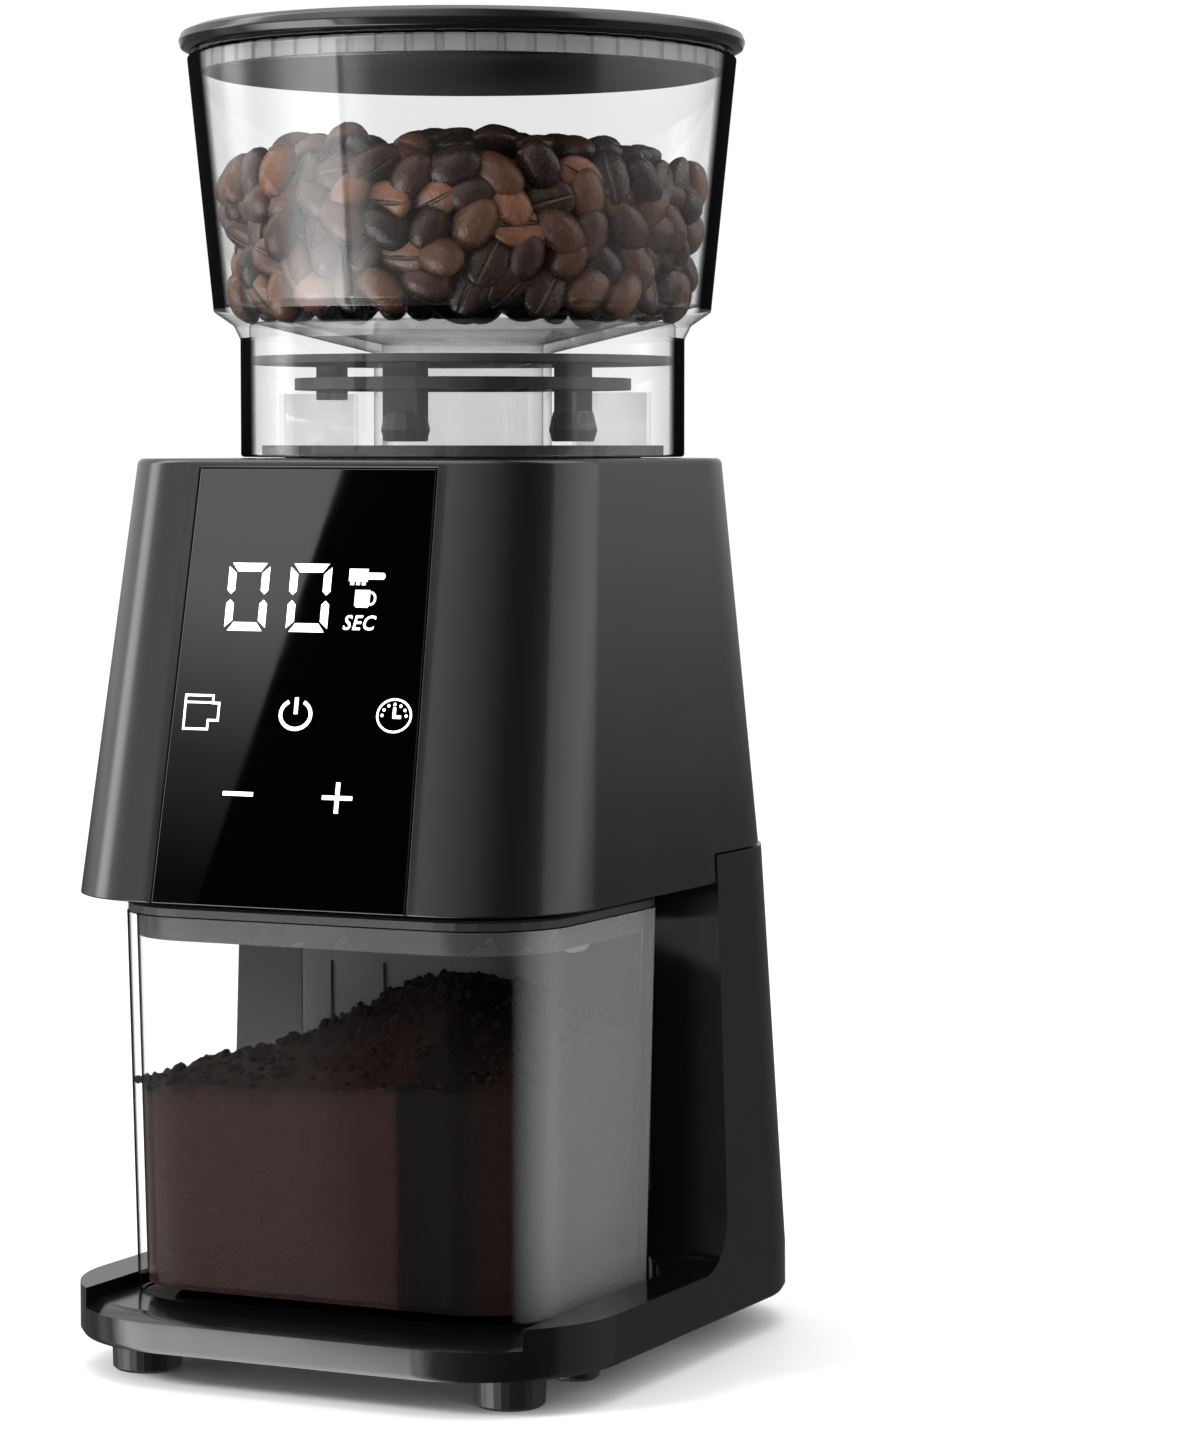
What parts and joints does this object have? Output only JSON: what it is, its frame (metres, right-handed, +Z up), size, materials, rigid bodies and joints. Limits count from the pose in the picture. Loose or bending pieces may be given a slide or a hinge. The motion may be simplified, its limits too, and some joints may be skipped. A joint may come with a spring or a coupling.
{
  "type": "burr coffee grinder",
  "caption": "Upright conical burr coffee grinder: clear lift-off bean hopper, flared glossy housing with a touch panel, and a clear grounds bin that pulls out over the tray lip.",
  "frame": {"origin": "middle of the bounding box at the underside of the feet, where the grinder stands on the worktop", "axes": "+Z up, +X to the right as seen from the front, so the touch panel faces -Y"},
  "size_m": [0.148, 0.1744, 0.343],
  "materials": {
    "gloss_black": "glossy injection-moulded black",
    "matte_black": "satin black moulding",
    "panel_glass": "gloss black touch panel with white lit symbols",
    "clear_plastic": "clear moulded plastic, faint grey edge tint",
    "rubber": "black rubber",
    "felt": "wool felt",
    "steel": "ground and hardened steel",
    "dark_steel": "dark plated steel",
    "brass": "machined brass",
    "acetal": "off-white low-friction plastic",
    "board": "green circuit board",
    "copper": "copper windings and bars",
    "label": "blank printed foil label",
    "zinc": "die-cast light alloy"
  },
  "bodies": {
    "body": {"base_shell": "gloss_black", "bottom_cover": "matte_black", "foot_front_left": "rubber", "foot_front_right": "rubber", "foot_middle_left": "rubber", "foot_middle_right": "rubber", "foot_rear_left": "rubber", "foot_rear_right": "rubber", "cover_screw_1": "zinc", "cover_screw_2": "zinc", "cover_screw_3": "zinc", "cover_screw_4": "zinc", "rating_plate": "label", "cord_gland": "rubber", "bay_wall": "matte_black", "upper_housing": "gloss_black", "front_panel_glass": "panel_glass", "display_board": "board", "bay_ceiling": "matte_black", "grind_chamber": "zinc", "upper_bearing": "steel", "felt_seal": "felt", "grounds_chute": "matte_black", "gear_housing": "zinc", "lower_bearing": "steel", "gear_cover": "zinc", "gear_screw_1": "zinc", "gear_screw_2": "zinc", "intermediate_axle": "steel", "motor_can": "dark_steel", "motor_magnet_1": "dark_steel", "motor_magnet_2": "dark_steel", "motor_cap": "zinc", "motor_plate": "zinc", "control_board": "board", "bin_switch": "matte_black", "hopper_switch": "matte_black"},
    "motor_rotor": {"motor_armature": "copper", "motor_shaft": "steel", "motor_commutator": "copper", "motor_pinion": "brass"},
    "intermediate": {"intermediate_gear": "acetal"},
    "burr_drive": {"lower_burr": "steel", "burr_shaft": "steel", "burr_nut": "steel", "burr_sweeper": "acetal", "burr_gear": "acetal"},
    "adjusting_ring": {"grind_ring": "matte_black"},
    "upper_burr_set": {"upper_burr": "steel", "upper_burr_carrier": "acetal"},
    "hopper": {"hopper": "clear_plastic", "hopper_frame": "matte_black"},
    "hopper_lid": {"hopper_lid": "gloss_black", "lid_plug": "matte_black", "lid_seal": "rubber"},
    "grounds_bin": {"grounds_bin": "clear_plastic", "bin_lid": "matte_black", "bin_lid_seal": "rubber"},
    "bin_plunger": {"bin_switch_plunger": "acetal"},
    "hopper_plunger": {"hopper_switch_plunger": "acetal"}
  },
  "joints": [
    {"name": "motor_spin", "type": "hinge", "parent": "body", "child": "motor_rotor", "pos_m": [0, 0.052, 0.131], "axis": [0, 0, 1], "continuous": true},
    {"name": "intermediate_spin", "type": "hinge", "parent": "body", "child": "intermediate", "pos_m": [0.02054, 0.03447, 0.132], "axis": [0, 0, 1], "continuous": true},
    {"name": "burr_spin", "type": "hinge", "parent": "body", "child": "burr_drive", "pos_m": [0, 0.0126, 0.141], "axis": [0, 0, 1], "continuous": true},
    {"name": "grind_adjust", "type": "hinge", "parent": "body", "child": "adjusting_ring", "pos_m": [0, 0.0126, 0.231], "axis": [0, 0, 1], "range_deg": [-60, 60]},
    {"name": "burr_gap", "type": "slide", "parent": "body", "child": "upper_burr_set", "axis": [0, 0, 1], "range_m": [-0.0006, 0.0006]},
    {"name": "hopper_lift", "type": "slide", "parent": "adjusting_ring", "child": "hopper", "axis": [0, 0, 1], "range_m": [0, 0.12]},
    {"name": "lid_lift", "type": "slide", "parent": "hopper", "child": "hopper_lid", "axis": [0, 0, 1], "range_m": [0, 0.08]},
    {"name": "bin_pull", "type": "slide", "parent": "body", "child": "grounds_bin", "axis": [0, -1, 0], "range_m": [0, 0.115]},
    {"name": "bin_plunger_press", "type": "slide", "parent": "body", "child": "bin_plunger", "axis": [0, 1, 0], "range_m": [0, 0.0025], "stiffness_N_per_m": 150, "springref_m": -0.002},
    {"name": "hopper_plunger_press", "type": "slide", "parent": "body", "child": "hopper_plunger", "axis": [0, 0, -1], "range_m": [0, 0.0018], "stiffness_N_per_m": 150, "springref_m": -0.002}
  ],
  "couplings": [
    {"joint": "intermediate_spin", "follows": "motor_spin", "ratio": -0.28571},
    {"joint": "burr_spin", "follows": "motor_spin", "ratio": 0.071429},
    {"joint": "burr_gap", "follows": "grind_adjust", "m_per_rad": 0.0005}
  ]
}
